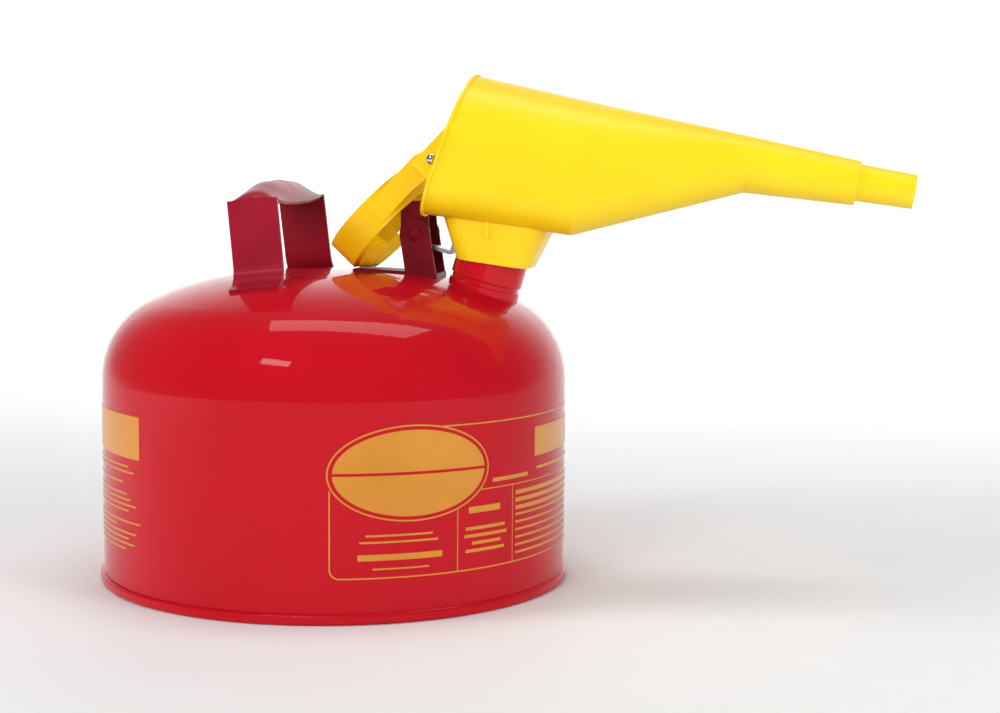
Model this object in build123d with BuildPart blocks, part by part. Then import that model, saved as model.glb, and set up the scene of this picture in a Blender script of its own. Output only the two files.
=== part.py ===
from build123d import *
import os
from math import sin, cos, radians, atan2

# Safety gas can, Type I pattern: one spout with a sprung cap, a trigger lever,
# a fixed strap handle and a pull-off funnel with a hinged keeper ring.
# Frame: origin at the centre of the base, +X towards the pouring side,
# +Y across the handle, +Z up. Millimetres.

# ---------------------------------------------------------------- dimensions
bead_r = 142.875          # outer radius of the rolled base seam (11 1/4 in)
bead_h = 6.0              # height of the base seam
wall_r = 140.6            # outer radius of the side wall
sheet = 1.0               # body sheet thickness
dome_top = 186.75         # height of the crown
crown_r1, crown_a1 = 768.0, 3.1    # flat centre of the crown
crown_r2, crown_a2 = 187.2, 25.3   # crown shoulder
pan_z = 9.0               # inside face of the base panel

neck_tilt = 15.5          # spout axis, degrees from vertical towards +X
neck_off = 41.0           # distance of the spout axis from the origin
neck_r = 21.75            # outer radius of the spout
neck_bore = 18.6
groove_r = 20.6           # root of the groove between flange and spout
flange_top = 197.2        # stations along the spout axis
groove_top = 200.3
mouth_s = 220.0
arrester_len = 62.0

pivot_x, pivot_z = 52.0, 209.0     # trigger pivot
pin_r = 2.5
ear_out = 16.0            # outer face of the bracket ears
ear_t = 2.0
ear_r = 9.2
lever_out = 13.4          # outer face of the lever's side plates
lever_t = 1.5
arm_w = 15.0              # width of the cap arm
arm_t = 2.4

strap_w = 29.6            # handle strap
strap_t = 2.0
handle_lean = 6.0
handle_yaw = 2.0          # the strap is welded on slightly turned
handle_x = -31.2
handle_top = 46.2
handle_half = 63.0

fun_t = 2.2               # funnel wall
bowl_rc = 20.0            # lower corner radius of the bowl
slot_half = 15.2          # half width of the slot for the lever and cap arm
ring_r = 32.3             # keeper ring
ring_t = 3.0
ring_w = 18.8
lip_r = 23.0              # inner lip of the keeper ring: radius at its front edge
lip_w = 8.5               # and how far it stands forward
ring_x, ring_z = 34.5, 211.2       # centre of the keeper ring's front face
ring_ang = 46.3
hinge_x, hinge_z = 65.9, 253.3     # keeper ring hinge
hinge_r = 2.0
lug_in, lug_out = 32.7, 36.2
arm_in, arm_out = 29.3, 32.4

os.makedirs("parts", exist_ok=True)


def head_mid(a, h):
    """Middle of a domed head's arc: half width a, height h, arc centred on the axis."""
    r = (a * a + h * h) / (2 * h)
    half = 0.5 * atan2(a, r - h)
    return r * sin(half), h - r + r * cos(half)


def save(solid, name):
    solid.label = name
    export_step(solid, "parts/" + name + ".step")


# ------------------------------------------------------------- dome geometry
def dome_arcs(off):
    """Three tangent arcs of the dome, offset inwards by off."""
    a1, a2 = radians(crown_a1), radians(crown_a2)
    x1 = crown_r1 * sin(a1)
    x2 = x1 + crown_r2 * (sin(a2) - sin(a1))
    r3 = (wall_r - x2) / (1 - sin(a2))
    c1 = (0.0, dome_top - crown_r1)
    p1 = (x1, c1[1] + crown_r1 * cos(a1))
    c2 = (p1[0] - crown_r2 * sin(a1), p1[1] - crown_r2 * cos(a1))
    p2 = (c2[0] + crown_r2 * sin(a2), c2[1] + crown_r2 * cos(a2))
    c3 = (p2[0] - r3 * sin(a2), p2[1] - r3 * cos(a2))

    def pt(c, r, deg):
        return (c[0] + (r - off) * sin(radians(deg)), c[1] + (r - off) * cos(radians(deg)))

    out = []
    for c, r, s, e in ((c1, crown_r1, 0.0, crown_a1), (c2, crown_r2, crown_a1, crown_a2), (c3, r3, crown_a2, 90.0)):
        out.append((pt(c, r, s), pt(c, r, (s + e) / 2), pt(c, r, e)))
    return out


outer = dome_arcs(0.0)
inner = dome_arcs(sheet)
wall_top = outer[2][2][1]

# solid of the can's outside, used to fit feet and flanges to the dome
with BuildPart(mode=Mode.PRIVATE) as dome_tool:
    with BuildSketch(Plane.XZ):
        with BuildLine():
            for a in outer:
                ThreePointArc(*a)
            Polyline(outer[2][2], (wall_r, 60.0), (0.0, 60.0), (0.0, dome_top))
        make_face()
    revolve(axis=Axis.Z)

nt = radians(neck_tilt)
u_dir = (cos(nt), 0.0, -sin(nt))
n_dir = (sin(nt), 0.0, cos(nt))
neck_org = (neck_off * cos(nt), 0.0, -neck_off * sin(nt))
neck_prof = Plane(origin=neck_org, x_dir=u_dir, z_dir=(0, -1, 0))
neck_axis = Axis(neck_org, n_dir)


def neck_plane(s):
    return Plane(origin=(neck_org[0] + s * n_dir[0], 0, neck_org[2] + s * n_dir[2]), x_dir=u_dir, z_dir=n_dir)


# ---------------------------------------------------------------- can body
with BuildPart() as body_shell:
    with BuildSketch(Plane.XZ):
        with BuildLine():
            for a in outer:
                ThreePointArc(*a)
            Polyline(outer[2][2], (wall_r, 1.4), (wall_r - sheet, 1.4), inner[2][2])
            for a in reversed(inner):
                ThreePointArc(a[2], a[1], a[0])
            Line(inner[0][0], outer[0][0])
        make_face()
    revolve(axis=Axis.Z)
    with BuildSketch(neck_plane(150.0)):
        Circle(groove_r)
    extrude(amount=80.0, mode=Mode.SUBTRACT)
save(body_shell.part, "body_shell")

# base panel: recessed disc, skirt inside the wall, rolled seam outside it
with BuildPart() as bottom_pan:
    ri = wall_r - sheet
    with BuildSketch(Plane.XZ):
        with BuildLine():
            Polyline((0, pan_z), (ri - 6.0, pan_z))
            ThreePointArc((ri - 6.0, pan_z), (ri - 2.464, pan_z + 1.464), (ri - 1.0, pan_z + 5.0))
            Polyline((ri - 1.0, pan_z + 5.0), (ri, pan_z + 5.0), (ri, 1.4), (wall_r, 1.4), (wall_r, bead_h))
            Line((wall_r, bead_h), (wall_r + 0.9, bead_h))
            ThreePointArc((wall_r + 0.9, bead_h), (wall_r + 1.872, bead_h - 0.403), (bead_r, bead_h - 1.375))
            Line((bead_r, bead_h - 1.375), (bead_r, 1.6))
            ThreePointArc((bead_r, 1.6), (bead_r - 0.469, 0.469), (bead_r - 1.6, 0.0))
            Line((bead_r - 1.6, 0.0), (ri, 0.0))
            ThreePointArc((ri, 0.0), (ri - 0.85, 0.35), (ri - 1.2, 1.2))
            Line((ri - 1.2, 1.2), (ri - 1.2, pan_z - 1.0 - 1.8))
            ThreePointArc((ri - 1.2, pan_z - 2.8), (ri - 1.73, pan_z - 1.53), (ri - 3.0, pan_z - 1.0))
            Polyline((ri - 3.0, pan_z - 1.0), (0, pan_z - 1.0), (0, pan_z))
        make_face()
    revolve(axis=Axis.Z)
save(bottom_pan.part, "bottom_pan")

# ------------------------------------------------------------------- spout
with BuildPart() as spout_neck:
    with BuildSketch(neck_prof):
        with BuildLine():
            Polyline((neck_bore, 180.0), (groove_r, 180.0), (groove_r, groove_top - 0.6), (neck_r, groove_top),
                     (neck_r, mouth_s - 1.2), (neck_r - 1.0, mouth_s), (neck_bore + 0.5, mouth_s),
                     (neck_bore + 0.5, mouth_s - 3.0), (neck_bore, mouth_s - 3.0), (neck_bore, 180.0))
        make_face()
    revolve(axis=neck_axis)
save(spout_neck.part, "spout_neck")

with BuildPart() as spout_flange:
    with BuildSketch(neck_prof):
        with BuildLine():
            Polyline((groove_r, 175.0), (neck_r + 2.2, 175.0), (neck_r + 2.2, 189.5))
            Spline((neck_r + 2.2, 189.5), (neck_r + 0.5, 191.6), (neck_r, 194.0), tangents=((-0.5, 0.9), (0, 1)))
            Polyline((neck_r, 194.0), (neck_r, flange_top - 0.7), (neck_r - 0.7, flange_top), (groove_r, flange_top),
                     (groove_r, 175.0))
        make_face()
    revolve(axis=neck_axis)
    add(dome_tool.part, mode=Mode.SUBTRACT)
save(spout_flange.part, "spout_flange")

# flame arrester: perforated cup hung in the spout, held by a snap ring
with BuildPart() as flame_arrester:
    a_top = mouth_s - 4.0
    with BuildSketch(neck_prof):
        with BuildLine():
            Polyline((0, a_top - arrester_len), (16.5, a_top - arrester_len), (16.5, a_top - 1.0), (neck_bore, a_top - 1.0),
                     (neck_bore, a_top), (15.7, a_top), (15.7, a_top - arrester_len + 0.8), (0, a_top - arrester_len + 0.8),
                     (0, a_top - arrester_len))
        make_face()
    revolve(axis=neck_axis)
    for k in range(5):
        for j in range(6):
            ang = radians(30 * j + 15 * (k % 2))
            d = (cos(ang) * u_dir[0], sin(ang), cos(ang) * u_dir[2])
            o = neck_plane(a_top - 12 - 10 * k).origin
            with BuildSketch(Plane(origin=o, z_dir=d)):
                Circle(2.2)
            extrude(amount=20, both=True, mode=Mode.SUBTRACT)
save(flame_arrester.part, "flame_arrester")

with BuildPart() as arrester_ring:
    with BuildSketch(neck_plane(a_top)):
        Circle(neck_bore)
        Circle(16.6, mode=Mode.SUBTRACT)
        with Locations((0, 18)):
            Rectangle(5, 6, mode=Mode.SUBTRACT)
    extrude(amount=1.0)
save(arrester_ring.part, "arrester_ring")

# --------------------------------------------------------- cap, gasket, arm
with BuildPart() as cap_gasket:
    with BuildSketch(neck_plane(mouth_s)):
        Circle(21.0)
        Circle(14.0, mode=Mode.SUBTRACT)
    extrude(amount=2.0)
save(cap_gasket.part, "cap_gasket")

with BuildPart() as gasket_washer:
    with BuildSketch(neck_prof):
        with BuildLine():
            Polyline((2.55, mouth_s + 0.2), (12.5, mouth_s + 0.2), (14.0, mouth_s + 1.2), (14.0, mouth_s + 2.0),
                     (2.55, mouth_s + 2.0), (2.55, mouth_s + 0.2))
        make_face()
    revolve(axis=neck_axis)
save(gasket_washer.part, "gasket_washer")

with BuildPart() as spout_cap:
    with BuildSketch(neck_prof):
        with BuildLine():
            Polyline((2.55, mouth_s + 2.0), (21.5, mouth_s + 2.0), (21.5, mouth_s + 4.0))
            ThreePointArc((21.5, mouth_s + 4.0), (21.2, mouth_s + 4.7), (20.5, mouth_s + 5.0))
            Polyline((20.5, mouth_s + 5.0), (2.55, mouth_s + 5.0), (2.55, mouth_s + 2.0))
        make_face()
    revolve(axis=neck_axis)
save(spout_cap.part, "spout_cap")

with BuildPart() as cap_rivet:
    with BuildSketch(neck_prof):
        with BuildLine():
            Polyline((0, mouth_s - 1.2), (4.5, mouth_s - 1.2), (5.0, mouth_s - 0.7), (5.0, mouth_s + 0.2), (2.55, mouth_s + 0.2),
                     (2.55, mouth_s + 5.0 + arm_t), (4.6, mouth_s + 5.0 + arm_t))
            hm = head_mid(4.6, 2.2)
            ThreePointArc((4.6, mouth_s + 5.0 + arm_t), (hm[0], mouth_s + 5.0 + arm_t + hm[1]), (0, mouth_s + 7.2 + arm_t))
            Line((0, mouth_s + 7.2 + arm_t), (0, mouth_s - 1.2))
        make_face()
    revolve(axis=neck_axis)
save(cap_rivet.part, "cap_rivet")

# pivot in spout coordinates: (distance from the spout axis, station)
piv_u = pivot_x * cos(nt) - pivot_z * sin(nt) - neck_off
piv_s = pivot_x * sin(nt) + pivot_z * cos(nt)
arm_lo = piv_s - 6.6
arm_hi = mouth_s + 5.0 + arm_t
arm_back = -24.9
with BuildPart() as cap_arm:
    with BuildSketch(neck_prof) as arm_s:
        with BuildLine():
            Polyline((piv_u - 5.5, arm_lo), (arm_back + arm_t, arm_lo), (arm_back + arm_t, arm_hi - arm_t), (7.0, arm_hi - arm_t),
                     (7.0, arm_hi), (arm_back, arm_hi), (arm_back, arm_lo + arm_t), (piv_u - 5.5, arm_lo + arm_t), (piv_u - 5.5, arm_lo))
        make_face()
        vs = arm_s.vertices()
        fillet([v for v in vs if abs(v.X - (arm_back + arm_t)) < 0.01 and v.Y < arm_lo + 0.01], 2.4)
        fillet([v for v in arm_s.vertices() if abs(v.X - arm_back) < 0.01 and v.Y > arm_hi - 0.01], 2.4)
    extrude(amount=arm_w / 2, both=True)
    with BuildSketch(neck_plane(arm_hi + 1)):
        Circle(2.55)
    extrude(amount=-6, mode=Mode.SUBTRACT)
    # end of the arm over the cap is rounded
    fillet(cap_arm.edges().filter_by(lambda e: abs(e.length - arm_t) < 0.01).group_by(Axis.X)[-1], 6.0)
    # holes for the two rivets that hold the arm to the lever's floor
    with BuildSketch(Plane(origin=neck_plane(arm_lo - 2).origin, x_dir=u_dir, z_dir=n_dir)):
        with Locations((piv_u - 0.5, 4.0), (piv_u - 0.5, -4.0)):
            Circle(1.5)
    extrude(amount=8, mode=Mode.SUBTRACT)
save(cap_arm.part, "cap_arm")

with BuildPart() as arm_rivets:
    for yy in (4.0, -4.0):
        with BuildSketch(neck_plane(arm_lo - 1.5)):
            with Locations((piv_u - 0.5, yy)):
                Circle(1.5)
        extrude(amount=arm_t + 1.5)
        with BuildSketch(neck_plane(arm_lo + arm_t)):
            with Locations((piv_u - 0.5, yy)):
                Circle(2.6)
        extrude(amount=1.1, taper=25)
        with BuildSketch(neck_plane(arm_lo - 1.5)):
            with Locations((piv_u - 0.5, yy)):
                Circle(2.6)
        extrude(amount=-1.0, taper=25)
save(arm_rivets.part, "arm_rivets")

# ------------------------------------------------ lever bracket and trigger
with BuildPart() as lever_bracket:
    for sgn in (1, -1):
        with BuildSketch(Plane.XZ.offset(-sgn * ear_out) if sgn > 0 else Plane.XZ.offset(ear_out)):
            with BuildLine():
                Polyline((46.2, 176.0), (65.4, 176.0), (65.0, 184.0), (pivot_x + ear_r, pivot_z - 1.0))
                Line((pivot_x + ear_r, pivot_z - 1.0), (pivot_x + ear_r, pivot_z))
                ThreePointArc((pivot_x + ear_r, pivot_z), (pivot_x, pivot_z + ear_r), (pivot_x - ear_r, pivot_z))
                Polyline((pivot_x - ear_r, pivot_z), (pivot_x - ear_r, pivot_z - 1.0), (46.6, 184.0), (46.2, 176.0))
            make_face()
        extrude(amount=sgn * ear_t)
    # floor between the ears
    with BuildSketch(Plane.XZ):
        with BuildLine():
            Polyline((45.5, 176.0), (65.6, 176.0), (65.4, 185.6), (46.0, 187.4), (45.5, 176.0))
        make_face()
    extrude(amount=ear_out - 0.01, both=True)
    # base plate running back under the keeper ring
    with BuildSketch(Plane.XZ):
        with BuildLine():
            Polyline((13.5, 180.0), (13.5, dome_top + 0.8), (30.0, dome_top + 0.6), (50.0, 186.3), (50.0, 180.0), (13.5, 180.0))
        make_face()
    extrude(amount=13.0, both=True)
    add(dome_tool.part, mode=Mode.SUBTRACT)
    with BuildSketch(Plane.XZ.offset(-30)):
        with Locations((pivot_x, pivot_z)):
            Circle(pin_r)
    extrude(amount=60, mode=Mode.SUBTRACT)
save(lever_bracket.part, "lever_bracket")

with BuildPart() as pivot_pin:
    with BuildSketch(Plane.XY.offset(pivot_z)):
        with BuildLine():
            ye, hm = ear_out, head_mid(4.3, 2.4)
            Polyline((pivot_x, -ye - 2.4), (pivot_x, ye + 2.4))
            ThreePointArc((pivot_x, ye + 2.4), (pivot_x + hm[0], ye + hm[1]), (pivot_x + 4.3, ye))
            Polyline((pivot_x + 4.3, ye), (pivot_x + pin_r, ye), (pivot_x + pin_r, -ye), (pivot_x + 4.3, -ye))
            ThreePointArc((pivot_x + 4.3, -ye), (pivot_x + hm[0], -ye - hm[1]), (pivot_x, -ye - 2.4))
        make_face()
    revolve(axis=Axis((pivot_x, 0, pivot_z), (0, 1, 0)))
save(pivot_pin.part, "pivot_pin")

with BuildPart() as pivot_washers:
    for sgn in (1, -1):
        y0 = lever_out + 0.05
        with BuildSketch(Plane.XZ.offset(-y0) if sgn > 0 else Plane.XZ.offset(y0)):
            with Locations((pivot_x, pivot_z)):
                Circle(6.0)
                Circle(pin_r, mode=Mode.SUBTRACT)
        extrude(amount=-sgn * 0.5)
save(pivot_washers.part, "pivot_washers")

# trigger lever: folded channel, two side plates, a thumb pad and a floor
side_pts = [(-9.0, 0.0), (-9.0, 13.0), (-22.0, 14.6), (-24.0, 17.6), (-10.0, 19.4), (3.0, 19.4), (7.4, 14.0), (8.6, 0.0)]
with BuildPart() as trigger_lever:
    for sgn in (1, -1):
        with BuildSketch(Plane.XZ.offset(-lever_out) if sgn > 0 else Plane.XZ.offset(lever_out)):
            with BuildLine():
                pts = [(pivot_x + a, pivot_z + b) for a, b in side_pts]
                Polyline(*pts)
                ThreePointArc(pts[-1], (pivot_x - 0.2, pivot_z - 8.8), pts[0])
            make_face()
        extrude(amount=sgn * lever_t)
    # thumb pad across the top
    with BuildSketch(Plane.XZ):
        with BuildLine():
            Polyline(*[(pivot_x + a, pivot_z + b) for a, b in ((-24.0, 17.6), (-10.0, 19.4), (3.0, 19.4), (3.0, 17.9), (-9.8, 17.9), (-23.8, 16.1), (-24.0, 17.6))])
        make_face()
    extrude(amount=lever_out - 0.01, both=True)
    # floor under the pivot, carries the cap arm
    with BuildSketch(neck_prof):
        with BuildLine():
            Polyline((piv_u - 6.0, arm_lo - 1.5), (piv_u + 6.0, arm_lo - 1.5), (piv_u + 6.0, arm_lo), (piv_u - 6.0, arm_lo),
                     (piv_u - 6.0, arm_lo - 1.5))
        make_face()
    extrude(amount=lever_out - 0.01, both=True)
    with BuildSketch(Plane.XZ.offset(-30)):
        with Locations((pivot_x, pivot_z)):
            Circle(pin_r + 0.05)
    extrude(amount=60, mode=Mode.SUBTRACT)
    with BuildSketch(neck_plane(arm_lo - 4)):
        with Locations((piv_u - 0.5, 4.0), (piv_u - 0.5, -4.0)):
            Circle(1.5)
    extrude(amount=8, mode=Mode.SUBTRACT)
save(trigger_lever.part, "trigger_lever")

# torsion spring round the pivot pin, with two short legs
with BuildPart() as return_spring:
    wire = 0.7
    coil = 4.0
    for y0 in (8.3, -11.1):
        with BuildLine():
            h = Helix(pitch=1.6, height=2.8, radius=coil, center=(pivot_x, y0 + 2.8, pivot_z), direction=(0, -1, 0))
        with BuildSketch(Plane(origin=h @ 0, z_dir=h % 0)):
            Circle(wire)
        sweep(path=h, is_frenet=True)
save(return_spring.part, "return_spring")

# ------------------------------------------------------------------ handle
hl = radians(handle_lean)
h_x = (cos(hl), 0.0, sin(hl))
h_z = (-sin(hl), 0.0, cos(hl))
h_org = (handle_x, 0.0, 184.0)


def h_pt(x, y, z):
    return (h_org[0] + x * h_x[0] + z * h_z[0], y, h_org[2] + x * h_x[2] + z * h_z[2])


def grip_section(y):
    """Arched strap section across the handle at distance y from the middle."""
    f = max(0.0, 1 - (abs(y) / handle_half) ** 2) ** 0.62
    hw = strap_w / 2 * (1 - f) + 13.2 * f
    ze = handle_top - 0.6 * (1 - f) - 4.2 * f
    za = (handle_top + 0.2) * (1 - f) + (handle_top + 10.6) * f
    return hw, ze, za


hy_plane_x = h_x
with BuildPart() as handle:
    for y in (-handle_half, -60.5, -54.0, -40.0, -22.0, 0.0, 22.0, 40.0, 54.0, 60.5, handle_half):
        hw, ze, za = grip_section(y)
        # local x = strap width, local y = up along the leaned handle
        with BuildSketch(Plane(origin=h_pt(0, y, 0), x_dir=h_x, z_dir=(0, -1, 0))):
            with BuildLine():
                ThreePointArc((-hw, ze), (0, za), (hw, ze))
                Line((hw, ze), (hw - strap_t * 0.7, ze - 0.7 * strap_t))
                ThreePointArc((hw - strap_t * 0.7, ze - 0.7 * strap_t), (0, za - strap_t), (-hw + strap_t * 0.7, ze - 0.7 * strap_t))
                Line((-hw + strap_t * 0.7, ze - 0.7 * strap_t), (-hw, ze))
            make_face()
    loft()
    for sgn in (1, -1):
        with BuildSketch(Plane(origin=h_pt(-strap_w / 2, 0, 0), x_dir=(0, 1, 0), z_dir=h_x)) as leg:
            with BuildLine() as path:
                FilletPolyline((sgn * (handle_half - strap_t / 2 + 0.6), handle_top - 0.5), (sgn * 64.6, -1.4), (sgn * 80.0, -5.6), radius=13.0)
            trace(path.line, strap_t)
        extrude(amount=strap_w)
turned = handle.part.rotate(Axis.Z, handle_yaw)
with BuildPart() as handle:
    add(turned)
    add(dome_tool.part, mode=Mode.SUBTRACT)
save(handle.part, "handle")

# ------------------------------------------------------------------ funnel
# stations of the funnel: centre x, centre z, radius, slope of the axis
stations = [(72.3, 262.25, 43.4, 18.96), (152.9, 248.2, 39.35, 9.6), (247.8, 251.5, 16.6, 9.2), (310.9, 241.3, 13.05, 9.2)]
noz = [(310.0, 241.95, 10.95, 9.5), (343.5, 236.55, 10.0, 9.5)]


def st_plane(x, z, ang, ext=0.0):
    a = radians(ang)
    return Plane(origin=(x + ext * cos(a), 0, z - ext * sin(a)), x_dir=(0, 1, 0), z_dir=(cos(a), 0, -sin(a)))


def bowl_outline(r, rc):
    """Bowl section: round above, upright sides and rounded lower corners."""
    c = r - rc
    d = c + rc * 0.70711
    ThreePointArc((r, 0), (0, r), (-r, 0))
    Line((-r, 0), (-r, -c))
    ThreePointArc((-r, -c), (-d, -d), (-c, -r))
    Line((-c, -r), (c, -r))
    ThreePointArc((c, -r), (d, -d), (r, -c))
    Line((r, -c), (r, 0))


def coll_plane(k):
    a = radians(7.7 + 1.4 * k)
    return Plane(origin=(98.95 + 1.3 * k, 0, 192.1 + 22.6 * k), x_dir=(cos(a), 0, -sin(a)), z_dir=(sin(a), 0, cos(a)))


def coll_rect(k, inset):
    return 2 * (22.05 + 9.2 * k - inset), 2 * (23.8 + 3.2 * k - inset), 11.0 + 2 * k - inset * 0.5


with BuildPart() as funnel:
    # collar
    for k in (0.0, 1.6):
        with BuildSketch(coll_plane(k)):
            RectangleRounded(*coll_rect(k, 0.0))
    loft(ruled=True)
    # short rib up each side of the collar
    for sgn in (1, -1):
        with Locations((97.6, sgn * 26.0, 214.0)):
            Box(2.2, 4.4, 13.0)
    # bowl, and the cone down to the tube
    for (x, z, r, a), rc in zip(stations[:3], (bowl_rc, bowl_rc, stations[2][2] - 0.3)):
        with BuildSketch(st_plane(x, z, a)):
            with BuildLine():
                bowl_outline(r, rc)
            make_face()
    loft(ruled=True)
    for x, z, r, a in stations[2:]:
        with BuildSketch(st_plane(x, z, a)):
            Circle(r)
    loft(ruled=True)
    # lip of the mouth
    with BuildSketch(st_plane(72.3, 262.25, 18.96)):
        with BuildLine():
            bowl_outline(stations[0][2] + 0.9, bowl_rc + 0.9)
        make_face()
    extrude(amount=1.8)
    # nozzle
    for x, z, r, a in noz:
        with BuildSketch(st_plane(x, z, a)):
            Circle(r)
    loft(ruled=True)
    # inside of the bowl and tube
    for (x, z, r, a), rc, ext in zip(stations[:3], (bowl_rc, bowl_rc, stations[2][2] - 0.3), (-1.0, 0.0, 0.0)):
        with BuildSketch(st_plane(x, z, a, ext)):
            with BuildLine():
                bowl_outline(r - fun_t, rc - fun_t)
            make_face()
    loft(ruled=True, mode=Mode.SUBTRACT)
    for (x, z, r, a), ext in zip(stations[2:], (-1.0, -fun_t)):
        with BuildSketch(st_plane(x, z, a, ext)):
            Circle(r - fun_t)
    loft(ruled=True, mode=Mode.SUBTRACT)
    with BuildSketch(st_plane(*noz[0][:2], noz[0][3], -6.0)):
        Circle(noz[0][2] - fun_t)
    with BuildSketch(st_plane(*noz[1][:2], noz[1][3], 1.0)):
        Circle(noz[1][2] - fun_t)
    loft(ruled=True, mode=Mode.SUBTRACT)
    # inside of the collar, and the bore that slides on the spout
    for k in (0.25, 1.75):
        with BuildSketch(coll_plane(k)):
            RectangleRounded(*coll_rect(k, 2.3))
    loft(ruled=True, mode=Mode.SUBTRACT)
    with BuildSketch(neck_plane(190.0)):
        Circle(neck_r + 0.1)
    extrude(amount=42.0, mode=Mode.SUBTRACT)
    # slot for the lever and the cap arm
    with BuildSketch(Plane.XZ):
        with BuildLine():
            Polyline((50.0, 185.0), (84.0, 185.0), (84.0, 226.0), (72.0, 236.0), (50.0, 236.0), (50.0, 185.0))
        make_face()
    extrude(amount=slot_half, both=True, mode=Mode.SUBTRACT)
    # lugs for the keeper ring
    for sgn in (1, -1):
        with BuildSketch(Plane.XZ.offset(-sgn * lug_in)):
            with BuildLine():
                Polyline((73.6, 271.2), (53.8, 250.7), (64.8, 239.6), (68.5, 226.0), (84.0, 224.0), (84.0, 262.0), (73.6, 271.2))
            make_face()
            with Locations((hinge_x, hinge_z)):
                Circle(hinge_r, mode=Mode.SUBTRACT)
        extrude(amount=-sgn * (lug_out - lug_in))
save(funnel.part, "funnel")

# ------------------------------------------------------- keeper ring, hinge
ra = radians(ring_ang)
r_t = (cos(ra), 0.0, sin(ra))          # along the ring's face, up and forward
r_a = (sin(ra), 0.0, -cos(ra))         # ring axis, down and forward
ring_face = Plane(origin=(ring_x, 0, ring_z), x_dir=r_t, z_dir=r_a)
pin_t = (hinge_x - ring_x) * r_t[0] + (hinge_z - ring_z) * r_t[2]
pin_a = (hinge_x - ring_x) * r_a[0] + (hinge_z - ring_z) * r_a[2]
with BuildPart() as keeper_ring:
    with BuildSketch(ring_face):
        Circle(ring_r)
        Circle(ring_r - ring_t + 0.9, mode=Mode.SUBTRACT)
    extrude(amount=-ring_w)
    with BuildSketch(ring_face.offset(-9.0)):
        Circle(ring_r - 1.0)
        Circle(ring_r - ring_t, mode=Mode.SUBTRACT)
    extrude(amount=-ring_w + 9.0)
    # inner lip round the lower half of the front, narrowing forwards
    with BuildSketch(Plane(origin=(ring_x, 0, ring_z), x_dir=r_t, z_dir=(0, -1, 0))):
        with BuildLine():
            Polyline((-ring_r + 0.6, 0.0), (-ring_r + 2.4, -1.8), (-lip_r, -lip_w), (-lip_r + 1.5, -lip_w), (-ring_r + 4.0, -0.6), (-ring_r + 4.0, 1.6), (-ring_r + 0.6, 1.6), (-ring_r + 0.6, 0.0))
        make_face()
    revolve(axis=Axis((ring_x, 0, ring_z), r_a), revolution_arc=82)
    with BuildSketch(Plane(origin=(ring_x, 0, ring_z), x_dir=r_t, z_dir=(0, -1, 0))):
        with BuildLine():
            Polyline((-ring_r + 0.6, 0.0), (-ring_r + 2.4, -1.8), (-lip_r, -lip_w), (-lip_r + 1.5, -lip_w), (-ring_r + 4.0, -0.6), (-ring_r + 4.0, 1.6), (-ring_r + 0.6, 1.6), (-ring_r + 0.6, 0.0))
        make_face()
    revolve(axis=Axis((ring_x, 0, ring_z), r_a), revolution_arc=-82)
    # two flat arms up to the hinge pins; local x = along the ring face, local y = along the ring axis
    for sgn in (1, -1):
        with BuildSketch(Plane(origin=(ring_x, sgn * arm_in, ring_z), x_dir=r_t, z_dir=(0, -1, 0))):
            with BuildLine():
                y1, y2 = 15.8, 2.5
                Polyline((4.0, y1), (pin_t - 6.0, y1), (pin_t + 1.0, -pin_a + 6.5), (pin_t + 1.0, -pin_a - 6.3), (30.0, y2), (4.0, y2), (4.0, y1))
            make_face()
            with Locations((pin_t, -pin_a)):
                Circle(6.6)
                Circle(hinge_r + 0.05, mode=Mode.SUBTRACT)
        extrude(amount=-sgn * (arm_out - arm_in))
save(keeper_ring.part, "keeper_ring")

with BuildPart() as hinge_pins:
    with BuildSketch(Plane.XY.offset(hinge_z)):
        with BuildLine():
            hx, y0, y1, hm = hinge_x, 27.2, lug_out, head_mid(3.3, 2.0)
            Polyline((hx, y0), (hx + hinge_r, y0), (hx + hinge_r, y1), (hx + 3.3, y1), (hx + 3.3, y1 + 0.5))
            ThreePointArc((hx + 3.3, y1 + 0.5), (hx + hm[0], y1 + 0.5 + hm[1]), (hx, y1 + 2.5))
            Line((hx, y1 + 2.5), (hx, y0))
        make_face()
    revolve(axis=Axis((hinge_x, 0, hinge_z), (0, 1, 0)))
    mirror(about=Plane.XZ)
save(hinge_pins.part, "hinge_pins")

with BuildPart() as hinge_nuts:
    for sgn in (1, -1):
        with BuildSketch(Plane.XZ.offset(-sgn * 27.9)):
            with Locations((hinge_x, hinge_z)):
                Circle(4.6)
                Circle(hinge_r, mode=Mode.SUBTRACT)
        extrude(amount=-sgn * 1.2)
save(hinge_nuts.part, "hinge_nuts")
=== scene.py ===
import math
import bpy
from mathutils import Matrix, Vector


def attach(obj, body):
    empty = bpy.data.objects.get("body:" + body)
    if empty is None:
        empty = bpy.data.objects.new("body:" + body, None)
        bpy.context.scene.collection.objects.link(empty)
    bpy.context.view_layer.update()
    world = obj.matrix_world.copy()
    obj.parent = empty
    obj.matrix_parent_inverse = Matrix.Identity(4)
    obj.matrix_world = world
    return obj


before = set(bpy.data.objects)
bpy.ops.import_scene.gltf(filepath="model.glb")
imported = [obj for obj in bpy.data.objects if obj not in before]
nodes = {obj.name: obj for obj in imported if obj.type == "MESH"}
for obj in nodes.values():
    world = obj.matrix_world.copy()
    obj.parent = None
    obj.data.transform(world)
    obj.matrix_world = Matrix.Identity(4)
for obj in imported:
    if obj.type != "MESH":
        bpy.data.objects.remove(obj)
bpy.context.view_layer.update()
scene = bpy.context.scene
scene.view_settings.view_transform = "Standard"

WALL = 0.1406          # radius of the side wall


# ------------------------------------------------------------------ materials
def lin(c):
    return tuple(((v / 255 + 0.055) / 1.055) ** 2.4 if v > 10 else v / 255 / 12.92 for v in c) + (1.0,)


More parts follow.
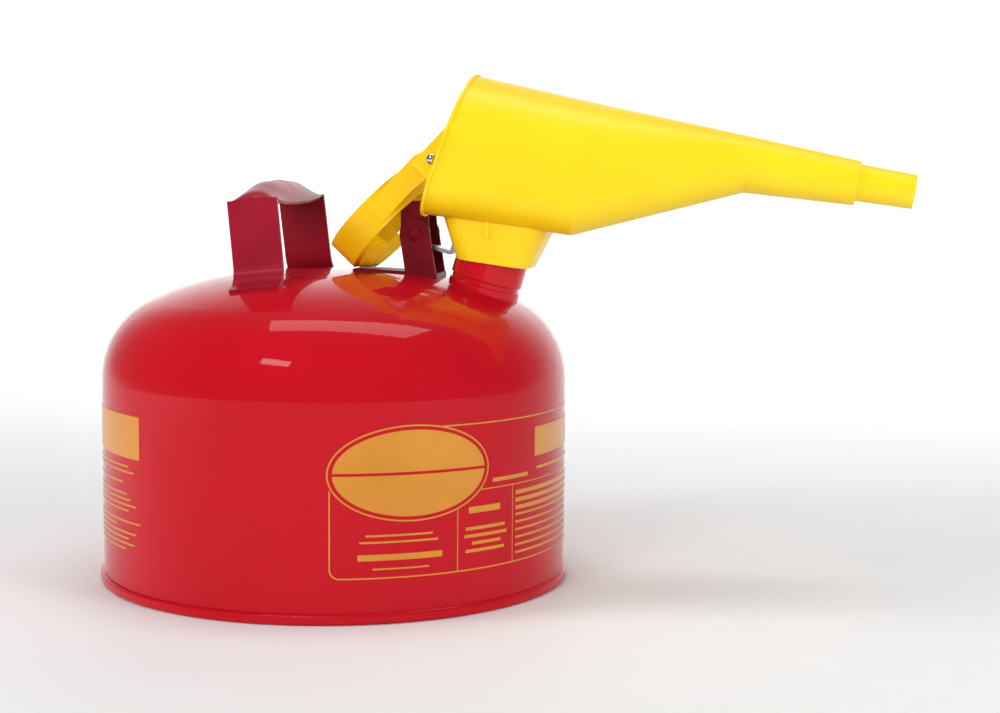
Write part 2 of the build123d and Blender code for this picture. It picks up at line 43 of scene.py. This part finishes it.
def material(name, low, high, rough=(0.25, 0.35), metal=0.0, coat=0.0, coat_rough=0.05, scale=30.0, bump=0.0, bump_scale=400.0,
             subsurface=0.0, specular=0.5, detail=6.0, coat_ior=1.5):
    """Two tones mixed by noise, roughness varied by noise and a fine bump."""
    m = bpy.data.materials.new(name)
    m.use_nodes = True
    nt = m.node_tree
    b = nt.nodes["Principled BSDF"]
    tc = nt.nodes.new("ShaderNodeTexCoord")
    n1 = nt.nodes.new("ShaderNodeTexNoise")
    n1.inputs["Scale"].default_value = scale
    n1.inputs["Detail"].default_value = detail
    nt.links.new(tc.outputs["Object"], n1.inputs["Vector"])
    ramp = nt.nodes.new("ShaderNodeValToRGB")
    ramp.color_ramp.elements[0].position = 0.3
    ramp.color_ramp.elements[1].position = 0.7
    ramp.color_ramp.elements[0].color = lin(low)
    ramp.color_ramp.elements[1].color = lin(high)
    nt.links.new(n1.outputs["Fac"], ramp.inputs["Fac"])
    nt.links.new(ramp.outputs["Color"], b.inputs["Base Color"])
    mr = nt.nodes.new("ShaderNodeMapRange")
    mr.inputs["To Min"].default_value = rough[0]
    mr.inputs["To Max"].default_value = rough[1]
    nt.links.new(n1.outputs["Fac"], mr.inputs["Value"])
    nt.links.new(mr.outputs["Result"], b.inputs["Roughness"])
    if bump:
        n2 = nt.nodes.new("ShaderNodeTexNoise")
        n2.inputs["Scale"].default_value = bump_scale
        n2.inputs["Detail"].default_value = 3.0
        nt.links.new(tc.outputs["Object"], n2.inputs["Vector"])
        bp = nt.nodes.new("ShaderNodeBump")
        bp.inputs["Strength"].default_value = bump
        bp.inputs["Distance"].default_value = 0.0004
        nt.links.new(n2.outputs["Fac"], bp.inputs["Height"])
        nt.links.new(bp.outputs["Normal"], b.inputs["Normal"])
        if coat:
            nt.links.new(bp.outputs["Normal"], b.inputs["Coat Normal"])
    b.inputs["Metallic"].default_value = metal
    b.inputs["Coat Weight"].default_value = coat
    b.inputs["Coat Roughness"].default_value = coat_rough
    b.inputs["Coat IOR"].default_value = coat_ior
    b.inputs["Specular IOR Level"].default_value = specular
    if subsurface:
        b.inputs["Subsurface Weight"].default_value = subsurface
        b.inputs["Subsurface Radius"].default_value = (1.0, 0.55, 0.1)
        b.inputs["Subsurface Scale"].default_value = 0.004
    return m


red = material("red_enamel", (184, 8, 26), (194, 12, 31), rough=(0.34, 0.40), coat=1.0, coat_rough=0.02, coat_ior=1.27, scale=9.0, specular=0.03, bump=0.02, bump_scale=260.0)
neck_red = material("red_spout", (194, 10, 28), (206, 14, 34), rough=(0.26, 0.34), coat=1.0, coat_rough=0.04, coat_ior=1.3, scale=20.0, specular=0.1, bump=0.05, bump_scale=300.0)
handle_red = material("red_handle", (140, 18, 36), (160, 28, 48), rough=(0.30, 0.42), coat=0.35, coat_rough=0.2, coat_ior=1.25, specular=0.12, scale=26.0, bump=0.08, bump_scale=350.0)
dark_red = material("dark_red", (104, 12, 24), (124, 18, 32), rough=(0.40, 0.50), coat=0.2, coat_rough=0.25, coat_ior=1.25, specular=0.12, scale=60.0, bump=0.08, bump_scale=500.0)
yellow = material("yellow_plastic", (252, 212, 20), (255, 221, 30), rough=(0.34, 0.42), scale=14.0, bump=0.05, bump_scale=220.0, subsurface=0.15, specular=0.35)
yellow2 = material("yellow_ring", (250, 200, 12), (254, 209, 20), rough=(0.32, 0.40), scale=30.0, bump=0.05, bump_scale=300.0, subsurface=0.15, specular=0.35)
zinc = material("zinc", (190, 190, 196), (222, 222, 226), rough=(0.20, 0.34), metal=1.0, scale=120.0, bump=0.05, bump_scale=900.0)
steel = material("drawn_steel", (120, 120, 124), (160, 160, 162), rough=(0.28, 0.42), metal=1.0, scale=160.0, bump=0.05, bump_scale=900.0)
chrome = material("chrome", (225, 226, 230), (240, 240, 243), rough=(0.04, 0.10), metal=1.0, scale=90.0)
rubber = material("gasket", (20, 20, 21), (30, 30, 31), rough=(0.6, 0.8), scale=200.0, bump=0.2, bump_scale=900.0)
ink = material("panel_ink", (206, 132, 26), (218, 144, 34), rough=(0.30, 0.38), coat=0.3, coat_rough=0.08, scale=25.0)

look = {
    "body_shell": red, "bottom_pan": red, "spout_flange": neck_red, "spout_neck": neck_red, "flame_arrester": steel,
    "arrester_ring": steel, "spout_cap": zinc, "cap_gasket": rubber, "gasket_washer": zinc, "cap_rivet": zinc, "cap_arm": zinc,
    "arm_rivets": zinc, "lever_bracket": dark_red, "trigger_lever": dark_red, "pivot_pin": dark_red, "pivot_washers": zinc,
    "return_spring": steel, "handle": handle_red, "funnel": yellow, "keeper_ring": yellow2, "hinge_pins": chrome, "hinge_nuts": zinc,
}
for name, mat in look.items():
    o = nodes[name]
    if not o.material_slots:
        o.data.materials.append(mat)
    for s in o.material_slots:
        s.material = mat


# ------------------------------------------------------- printed side panel
def new_mesh(name, verts, faces, mat, body, smooth=True):
    me = bpy.data.meshes.new(name)
    me.from_pydata(verts, [], faces)
    me.update()
    me.materials.append(mat)
    if smooth:
        for p in me.polygons:
            p.use_smooth = True
    o = bpy.data.objects.new(name, me)
    scene.collection.objects.link(o)
    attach(o, body)
    return o


DEG = math.pi / 180 * WALL      # arc length of one degree on the wall


def on_wall(a, z, lift=0.00012):
    r = WALL + lift
    return (r * math.cos(math.radians(a)), r * math.sin(math.radians(a)), z)


class Print:
    """Flat printing on the wall, laid out in degrees round it and metres up it."""

    def __init__(self):
        self.v, self.f = [], []

    def quad_strip(self, left, right):
        n = len(self.v)
        for p, q in zip(left, right):
            self.v.append(on_wall(*p))
            self.v.append(on_wall(*q))
        for i in range(len(left) - 1):
            k = n + 2 * i
            self.f.append((k, k + 1, k + 3, k + 2))

    def line(self, pts, width, closed=False):
        """A line of even width through points; corners are mitred."""
        p = [Vector((a * DEG, z)) for a, z in pts]
        # cut long runs so that they follow the wall
        q = []
        m = len(p)
        for i in range(m if closed else m - 1):
            a, b = p[i], p[(i + 1) % m]
            k = max(1, int(abs(b.x - a.x) / 0.003))
            q += [a.lerp(b, j / k) for j in range(k)]
        if not closed:
            q.append(p[-1])
        n = len(q)
        left, right = [], []
        for i in range(n):
            prev = q[i - 1] if (i or closed) else None
            nxt = q[(i + 1) % n] if (i < n - 1 or closed) else None
            d1 = (q[i] - prev).normalized() if prev is not None else None
            d2 = (nxt - q[i]).normalized() if nxt is not None else None
            d = (d1 + d2).normalized() if d1 is not None and d2 is not None else (d1 if d1 is not None else d2)
            w = width / 2
            if d1 is not None and d2 is not None:
                w /= max(0.5, d.dot(d2))
            nrm = Vector((-d.y, d.x)) * w
            a, b = q[i] + nrm, q[i] - nrm
            left.append((a.x / DEG, a.y))
            right.append((b.x / DEG, b.y))
        if closed:
            left.append(left[0])
            right.append(right[0])
        self.quad_strip(right, left)

    def bar(self, a0, a1, z0, z1):
        k = max(1, int((a1 - a0) * DEG / 0.003))
        aa = [a0 + (a1 - a0) * i / k for i in range(k + 1)]
        self.quad_strip([(a, z1) for a in aa][::-1], [(a, z0) for a in aa][::-1])

    def ellipse_fill(self, a, z, ra, rz, z_lo=-9.0, z_hi=9.0):
        left, right = [], []
        for i in range(97):
            t = math.pi * i / 96
            x, h = math.cos(t), math.sin(t) * rz
            left.append((a + x * ra, max(min(z + h, z_hi), z_lo)))
            right.append((a + x * ra, min(max(z - h, z_lo), z_hi)))
        self.quad_strip(left, right)


def ellipse(a, z, ra, rz, t0=0, t1=360, n=120):
    return [(a + ra * math.cos(math.radians(t0 + (t1 - t0) * i / n)), z + rz * math.sin(math.radians(t0 + (t1 - t0) * i / n))) for i in range(n + 1)]


OA, OZ, RA, RZ = -58.6, 0.0826, 19.5, 0.0262       # plain oval: centre and half axes
main = Print()
# frame, open where the oval sits on it
corner = [(-77.6 + 2.2 * (1 - math.cos(math.radians(t))), 0.0254 + 0.0054 * (1 - math.sin(math.radians(t)))) for t in range(0, 91, 10)]
main.line([(-77.6, 0.0738)] + corner + [(34.0, 0.0254), (34.0, 0.1074), (-51.5, 0.1074)], 0.0008)
# oval: thin outline, gap, filled middle with two plain dividing bands
main.line(ellipse(OA, OZ, RA, RZ)[:-1], 0.0009, closed=True)
for lo, hi in ((-9.0, OZ - 0.0008), (OZ + 0.0008, 9.0)):
    main.ellipse_fill(OA, OZ, RA - 1.1, RZ - 0.0024, lo, hi)
# rules inside the frame
main.line([(-47.6, 0.0254), (-47.6, 0.0606)], 0.0006)
main.line([(-30.9, 0.0254), (-30.9, 0.0700)], 0.0006)
main.line([(-41.5, 0.0700), (34.0, 0.0700)], 0.0006)
# plain rows
for a0, a1, z, h in ((-69.6, -54.0, 0.0488, 0.0011), (-71.0, -52.6, 0.0452, 0.0011), (-71.4, -51.6, 0.0368, 0.0034), (-68.0, -54.8, 0.0304, 0.0009),
                     (-44.6, -35.2, 0.0590, 0.0036), (-45.4, -33.6, 0.0486, 0.0018), (-45.8, -33.0, 0.0444, 0.0018), (-43.6, -35.0, 0.0402, 0.0018), (-45.4, -33.8, 0.0360, 0.0018),
                     (-37.6, -25.0, 0.0744, 0.0022), (-22.0, 30.0, 0.0920, 0.0170), (-21.0, 30.0, 0.0766, 0.0016)):
    main.bar(a0, a1, z - h / 2, z + h / 2)
for i in range(9):
    h = 0.0024 if i < 3 else 0.0013
    main.bar(-29.8, 30.0 - 2.0 * (i % 3), 0.0662 - 0.0044 * i - h, 0.0662 - 0.0044 * i)
new_mesh("panel_front", main.v, main.f, ink, "can")
side = Print()
side.bar(-166.0, -127.8, 0.0826, 0.1072)
for i, w in enumerate((30, 33, 0, 27, 0, 29, 31, 34, 30, 0, 36, 22, 34, 30, 33, 28)):
    if w:
        side.bar(-166.0, -160.0 + w * 0.9, 0.0772 - 0.0032 * i, 0.0782 - 0.0032 * i)
new_mesh("panel_side", side.v, side.f, ink, "can")


# --------------------------------------------------- ribs inside the ring
ra = math.radians(46.3)
t_dir = Vector((math.cos(ra), 0, math.sin(ra)))
a_dir = Vector((math.sin(ra), 0, -math.cos(ra)))
y_dir = Vector((0, 1, 0))
ring_c = Vector((0.0345, 0, 0.2112))
verts, faces = [], []
for i in range(90):
    ang = 2 * math.pi * i / 90
    rad = t_dir * math.cos(ang) + y_dir * math.sin(ang)
    tan = -t_dir * math.sin(ang) + y_dir * math.cos(ang)
    k = len(verts)
    for s in (-0.0078, -0.0008):
        for w, r in ((-0.00045, 0.0303), (0.0, 0.0295), (0.00045, 0.0303)):
            verts.append(ring_c + a_dir * s + rad * r + tan * w)
    faces += [(k, k + 1, k + 4, k + 3), (k + 1, k + 2, k + 5, k + 4), (k, k + 2, k + 1), (k + 3, k + 4, k + 5)]
new_mesh("ring_ribs", [tuple(v) for v in verts], faces, yellow2, "keeper", smooth=False)

# ribs on the outside of the ring's inner lip, lower half only
verts, faces = [], []
for i in range(50):
    ang = math.pi + math.radians((i - 24.5) * 3.1)
    rad = t_dir * math.cos(ang) + y_dir * math.sin(ang)
    tan = -t_dir * math.sin(ang) + y_dir * math.cos(ang)
    k = len(verts)
    for a, r in ((0.0020, 0.0296), (0.0082, 0.0232)):
        for w, up_by in ((-0.00050, -0.0002), (0.0, 0.0005), (0.00050, -0.0002)):
            verts.append(ring_c + a_dir * (a + up_by * 0.7) + rad * (r + up_by * 0.7) + tan * w)
    faces += [(k, k + 1, k + 4, k + 3), (k + 1, k + 2, k + 5, k + 4), (k, k + 2, k + 1), (k + 3, k + 4, k + 5)]
new_mesh("lip_ribs", [tuple(v) for v in verts], faces, yellow2, "keeper", smooth=False)

# ------------------------------------------------------------------ stage
floor_mat = material("pale_floor", (236, 236, 236), (240, 240, 240), rough=(0.6, 0.7), scale=3.0)
me = bpy.data.meshes.new("floor")
S = 6.0
me_v = [(-S, -S, -0.0002), (S, -S, -0.0002)]
prof = [(1.2, -0.0002)] + [(1.2 + 1.2 * math.sin(math.radians(t)), 1.2 - 1.2 * math.cos(math.radians(t))) for t in range(10, 91, 10)] + [(2.4, 5.0)]
for y, z in prof:
    me_v += [(-S, y, z), (S, y, z)]
me_f = [(2 * i, 2 * i + 1, 2 * i + 3, 2 * i + 2) for i in range(len(prof))]
me.from_pydata(me_v, [], me_f)
me.materials.append(floor_mat)
for p in me.polygons:
    p.use_smooth = True
floor = bpy.data.objects.new("floor", me)
scene.collection.objects.link(floor)

world = bpy.data.worlds.new("studio")
world.use_nodes = True
bg = world.node_tree.nodes["Background"]
bg.inputs["Color"].default_value = (0.92, 0.94, 0.97, 1)
bg.inputs["Strength"].default_value = 0.22
scene.world = world


def softbox(name, loc, target, size, power, color=(1, 1, 1), seen=1):
    d = bpy.data.lights.new(name, "AREA")
    d.shape = "RECTANGLE"
    d.size, d.size_y = size
    d.energy = power
    d.color = color
    o = bpy.data.objects.new(name, d)
    scene.collection.objects.link(o)
    o.location = loc
    o.visible_glossy = bool(seen)
    o.rotation_euler = (Vector(target) - Vector(loc)).to_track_quat("-Z", "Y").to_euler()
    return o


softbox("left", (-1.45, -0.75, 0.62), (0, 0, 0.14), (0.50, 1.0), 12, seen=0)
softbox("right", (1.40, -0.75, 0.62), (0, 0, 0.14), (0.50, 1.0), 9, seen=0)
softbox("top", (0.1, 0.1, 1.6), (0.1, 0, 0.1), (1.2, 0.5), 7)
softbox("front", (-0.10, -2.3, 0.95), (0.05, 0, 0.14), (1.8, 0.5), 21, seen=0)
softbox("glint", (-0.55, -1.6, 1.5), (0.25, 0, 0.25), (0.5, 0.25), 4)
softbox("backdrop", (0.0, 0.9, 1.5), (0, 2.4, 0.7), (3.5, 0.4), 42)

# ------------------------------------------------------------------ camera
cam = bpy.data.cameras.new("camera")
cam.sensor_width = 36.0
cam.lens = 66.04
cam.clip_end = 50.0
cam_o = bpy.data.objects.new("camera", cam)
scene.collection.objects.link(cam_o)
right = Vector((0.987879, 0.155020, 0.007959))
up = Vector((-0.023454, 0.098385, 0.994872))
fwd = Vector((-0.153442, 0.983000, -0.100828))
m = Matrix((right, up, -fwd)).transposed().to_4x4()
m.translation = Vector((0.27169, -1.08969, 0.24702))
cam_o.matrix_world = m
scene.camera = cam_o
